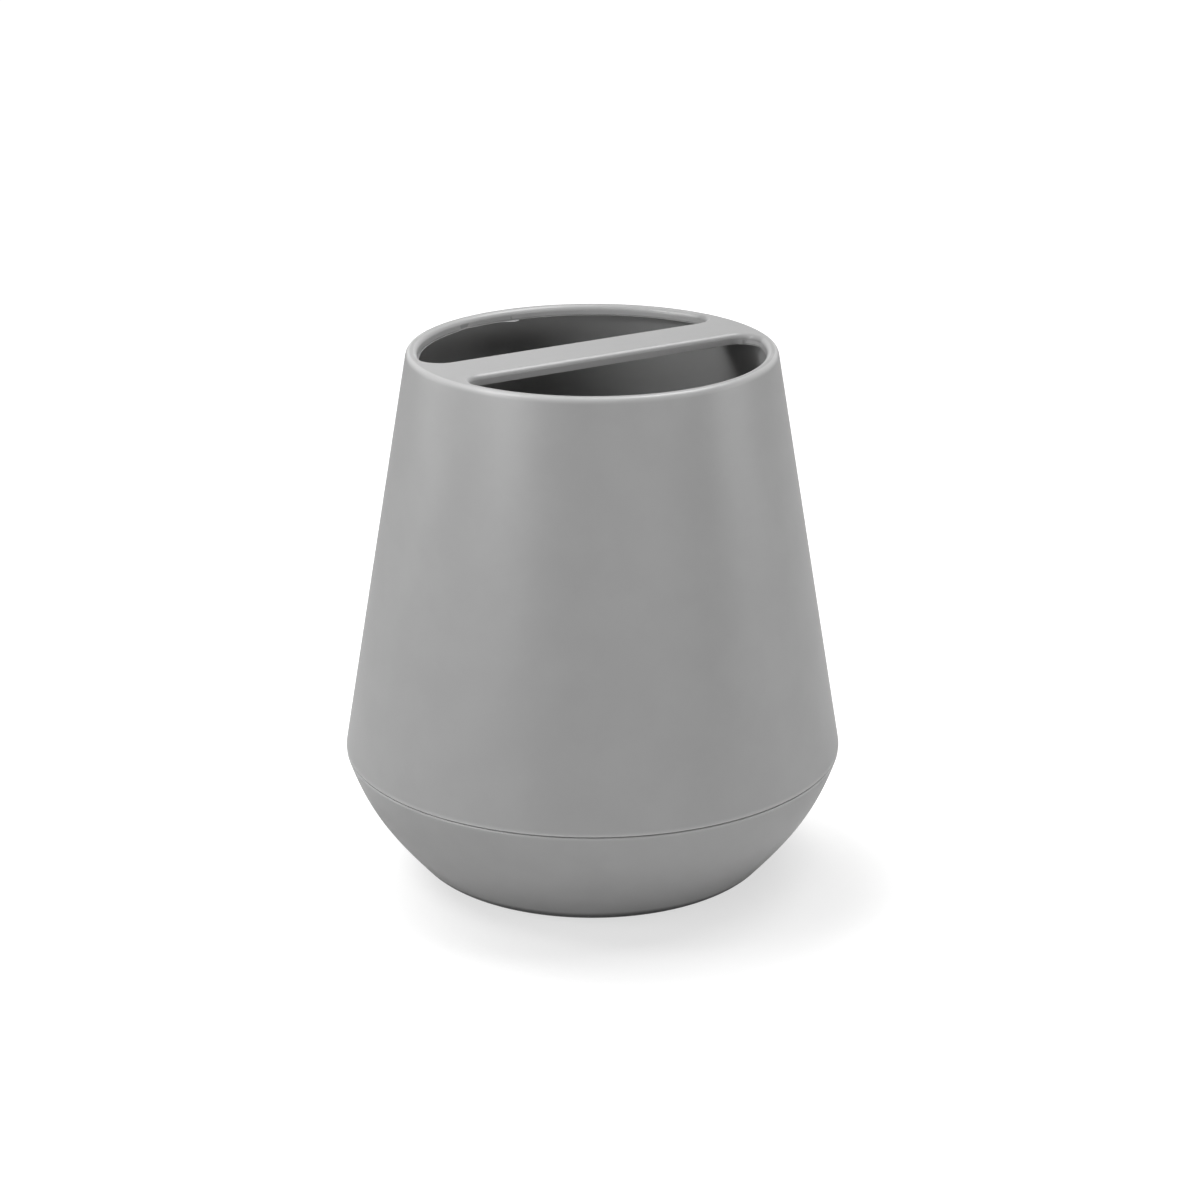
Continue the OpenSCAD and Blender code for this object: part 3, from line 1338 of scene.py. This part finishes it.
    def build(self) -> bpy.types.Object:
        """Model the base.

        Returns:
            The finished object.
        """
        bowl = turned("base_moulding", self.section())
        dress(bowl, self.sharp_angle, BASE_PLASTIC)
        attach(bowl, "base")
        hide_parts("base_bowl")
        return bowl


@dataclass
class SealBand:
    """The soft ring in the collar's groove, which grips the cover's bore."""

    inner_radius: float = 45.57 * MM
    rounding: float = 0.5 * MM
    sharp_angle: float = 50.0

    def build(self) -> bpy.types.Object:
        """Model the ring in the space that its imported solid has.

        Returns:
            The finished object.
        """
        low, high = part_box("seal_ring")
        corners = [
            Corner(self.inner_radius, low.z, self.rounding),
            Corner(high.x, low.z, self.rounding),
            Corner(high.x, high.z, self.rounding),
            Corner(self.inner_radius, high.z, self.rounding),
        ]
        band = turned("seal_band", rounded(corners, closed=True), closed=True)
        dress(band, self.sharp_angle, SEAL_RUBBER)
        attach(band, "seal")
        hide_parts("seal_ring")
        return band


@dataclass
class FootBand:
    """The rubber ring under the base, with shallow grooves in its tread."""

    inner_radius: float = 26.99 * MM
    rounding: float = 0.5 * MM
    grooves: int = 2
    groove_width: float = 0.4 * MM
    groove_depth: float = 0.2 * MM
    sharp_angle: float = 50.0

    def build(self) -> bpy.types.Object:
        """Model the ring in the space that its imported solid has.

        Returns:
            The finished object.
        """
        low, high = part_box("foot_ring")
        width = high.x - self.inner_radius
        tread = []
        for groove in range(1, self.grooves + 1):
            middle = self.inner_radius + width * groove / (self.grooves + 1)
            half = self.groove_width / 2
            tread += [
                Corner(middle - half, low.z),
                Corner(middle - half / 2, low.z + self.groove_depth),
                Corner(middle + half / 2, low.z + self.groove_depth),
                Corner(middle + half, low.z),
            ]
        corners = [
            Corner(self.inner_radius, low.z, self.rounding),
            *tread,
            Corner(high.x, low.z, self.rounding),
            Corner(high.x, high.z),
            Corner(self.inner_radius, high.z),
        ]
        band = turned("foot_band", rounded(corners, closed=True), closed=True)
        dress(band, self.sharp_angle, FOOT_RUBBER)
        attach(band, "base")
        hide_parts("foot_ring")
        return band


# The studio


@dataclass(frozen=True)
class Softbox:
    """A soft lamp that looks at the holder, placed by its bearing from the camera."""

    name: str
    bearing: float
    elevation: float
    distance: float
    width: float
    height: float
    power: float


@dataclass
class Studio:
    """Camera, lamps, floor and sky."""

    camera_bearing: float = 31.8
    camera_distance: float = 575.13 * MM
    camera_height: float = 258.27 * MM
    camera_pitch: float = 19.496
    camera_turn: float = 0.151
    lens: float = 91.27
    nearest_seen: float = 0.01
    farthest_seen: float = 100.0
    floor_size: float = 12.0
    floor_squares: int = 4
    floor_shade: float = 0.8
    floor_shade_shown: float = 0.28
    # The glow whitens the floor for the camera and dims round a point beside the holder, which paints a soft
    # shadow there.
    painted_shadow_bearing: float = 32.0
    painted_shadow_offset: float = 21.4 * MM
    painted_shadow_glow: float = 0.645
    glow_far: float = 1.02
    painted_shadow_radius: float = 34.2 * MM
    painted_shadow_fade_radius: float = 69.6 * MM
    lamps: tuple[Softbox, ...] = (
        Softbox("top_right_lamp", 118, 67, 1.2, 0.7, 0.6, 10.3),
        Softbox("right_low_lamp", 88, 5, 1.2, 0.6, 0.2, 2.2),
        Softbox("front_right_lamp", 47, 11, 1.2, 0.6, 0.2, 1.9),
        Softbox("front_low_lamp", 20, 8, 0.5, 0.3, 0.2, 0.28),
        Softbox("left_rim_lamp", -105, 5, 1.2, 0.6, 0.2, 1.3),
        Softbox("left_key_lamp", -75, 50, 0.33, 0.1, 0.1, 0.37),
        Softbox("left_high_lamp", -58, 55, 0.33, 0.08, 0.08, 0.11),
        Softbox("left_low_lamp", -58, 25, 0.33, 0.08, 0.08, 0.16),
        Softbox("left_front_lamp", -45, 14, 0.33, 0.14, 0.08, 0.15),
    )

    def toward(self, bearing: float, elevation: float) -> Vector:
        """Work out a direction from the holder.

        Args:
            bearing: Degrees round the axis, with 0 towards the camera and 90 to its right.
            elevation: Degrees above the horizon.

        Returns:
            The direction, one long.
        """
        angle = math.radians(self.camera_bearing - bearing)
        rise = math.radians(elevation)
        flat = Vector((-math.sin(angle), -math.cos(angle), 0))
        return flat * math.cos(rise) + Vector((0, 0, math.sin(rise)))

    def place_camera(self) -> None:
        """Set the camera up where the photograph was taken from."""
        camera = bpy.data.objects.new("camera", bpy.data.cameras.new("camera"))
        bpy.context.scene.collection.objects.link(camera)
        camera.data.lens = self.lens
        camera.data.clip_start = self.nearest_seen
        camera.data.clip_end = self.farthest_seen
        camera.location = self.toward(0, 0) * self.camera_distance + Vector((0, 0, self.camera_height))
        camera.rotation_euler = (
            math.radians(90 - self.camera_pitch),
            0,
            math.radians(-self.camera_bearing - self.camera_turn),
        )
        bpy.context.scene.camera = camera

    def place_lamp(self, box: Softbox) -> None:
        """Set one softbox up, facing the holder.

        Args:
            box: The softbox.
        """
        lamp = bpy.data.lights.new(box.name, "AREA")
        lamp.shape = "RECTANGLE"
        lamp.size = box.width
        lamp.size_y = box.height
        lamp.energy = box.power
        stand = bpy.data.objects.new(box.name, lamp)
        bpy.context.scene.collection.objects.link(stand)
        middle = Vector((0, 0, (CAD_BOX[0].z + CAD_BOX[1].z) / 2))
        away = self.toward(box.bearing, box.elevation)
        stand.location = middle + away * box.distance
        stand.rotation_euler = (-away).to_track_quat("-Z", "Y").to_euler()
        stand.visible_camera = False

    def floor_paint(self) -> bpy.types.Material:
        """Make the floor's material: matt, with a glow that keeps the cast shadow and whitens the rest.

        The glow is weakest round a point on the holder's shadow side, which paints a soft shadow there, and
        only the camera sees it.

        Returns:
            The new material, which can't be seen from below.
        """
        material = bpy.data.materials.new("pale_floor")
        material.use_nodes = True
        nodes = material.node_tree.nodes
        nodes.remove(nodes["Principled BSDF"])
        wiring = Wiring(material.node_tree)
        seen = wiring.node("LightPath").outputs["Is Camera Ray"]
        colour = wiring.mix(seen, grey(self.floor_shade), grey(self.floor_shade_shown))
        matt = wiring.node("BsdfDiffuse", {"Color": colour}).outputs[0]
        place = wiring.node("TexCoord").outputs["Object"]
        # Painted shadow: the glow is dimmed round this point, on the holder's shadow side.
        middle = self.toward(self.painted_shadow_bearing, 0) * self.painted_shadow_offset
        away = wiring.node("VectorMath", {0: place, 1: middle}, operation="DISTANCE").outputs["Value"]
        radii = (self.painted_shadow_radius, self.painted_shadow_fade_radius)
        whitening_round_painted_shadow = wiring.ramp(away, *radii, self.painted_shadow_glow, self.glow_far)
        strength = wiring.maths("MULTIPLY", whitening_round_painted_shadow, seen)
        glow = wiring.node("Emission", {"Strength": strength}).outputs[0]
        lit = wiring.node("AddShader", {0: matt, 1: glow}).outputs[0]
        below = wiring.node("NewGeometry").outputs["Backfacing"]
        clear = wiring.node("BsdfTransparent").outputs[0]
        surface = wiring.node("MixShader", {0: below, 1: lit, 2: clear}).outputs[0]
        wiring.feed(nodes["Material Output"].inputs["Surface"], surface)
        return material

    def lay_floor(self) -> None:
        """Lay a pale floor that keeps the holder's cast shadow and has a painted soft shadow round it."""
        deselect_everything()
        bpy.ops.mesh.primitive_grid_add(
            x_subdivisions=self.floor_squares,
            y_subdivisions=self.floor_squares,
            size=self.floor_size,
        )
        floor = bpy.context.active_object
        floor.name = "floor"
        floor.data.materials.append(self.floor_paint())

    def light_sky(self) -> None:
        """Make the sky white to the camera, in gloss and through glass, and no lamp at all."""
        world = bpy.data.worlds.new("studio")
        bpy.context.scene.world = world
        world.use_nodes = True
        wiring = Wiring(world.node_tree)
        paths = wiring.node("LightPath").outputs
        shown = wiring.maths("MAXIMUM", paths["Is Camera Ray"], paths["Is Glossy Ray"])
        shown = wiring.maths("MAXIMUM", shown, paths["Is Transmission Ray"])
        backdrop = world.node_tree.nodes["Background"]
        wiring.feed(backdrop.inputs["Color"], grey(1.0))
        wiring.feed(backdrop.inputs["Strength"], shown)

    def build(self) -> None:
        """Set up everything round the holder."""
        bpy.context.scene.view_settings.view_transform = "Standard"
        self.place_camera()
        self.light_sky()
        self.lay_floor()
        for box in self.lamps:
            self.place_lamp(box)


def main() -> None:
    """Set the studio up, build the holder piece by piece and report each piece."""
    logging.basicConfig(level=logging.INFO, format="%(message)s")
    levels = Levels.from_frame()
    Studio().build()
    for sub_assembly in (Cover(levels), Base(levels), SealBand(), FootBand()):
        piece = sub_assembly.build()
        faces = len(piece.data.polygons)
        log.info("%s: %d faces, %d edges not closed", piece.name, faces, open_edges(piece))


if __name__ == "__main__":
    main()
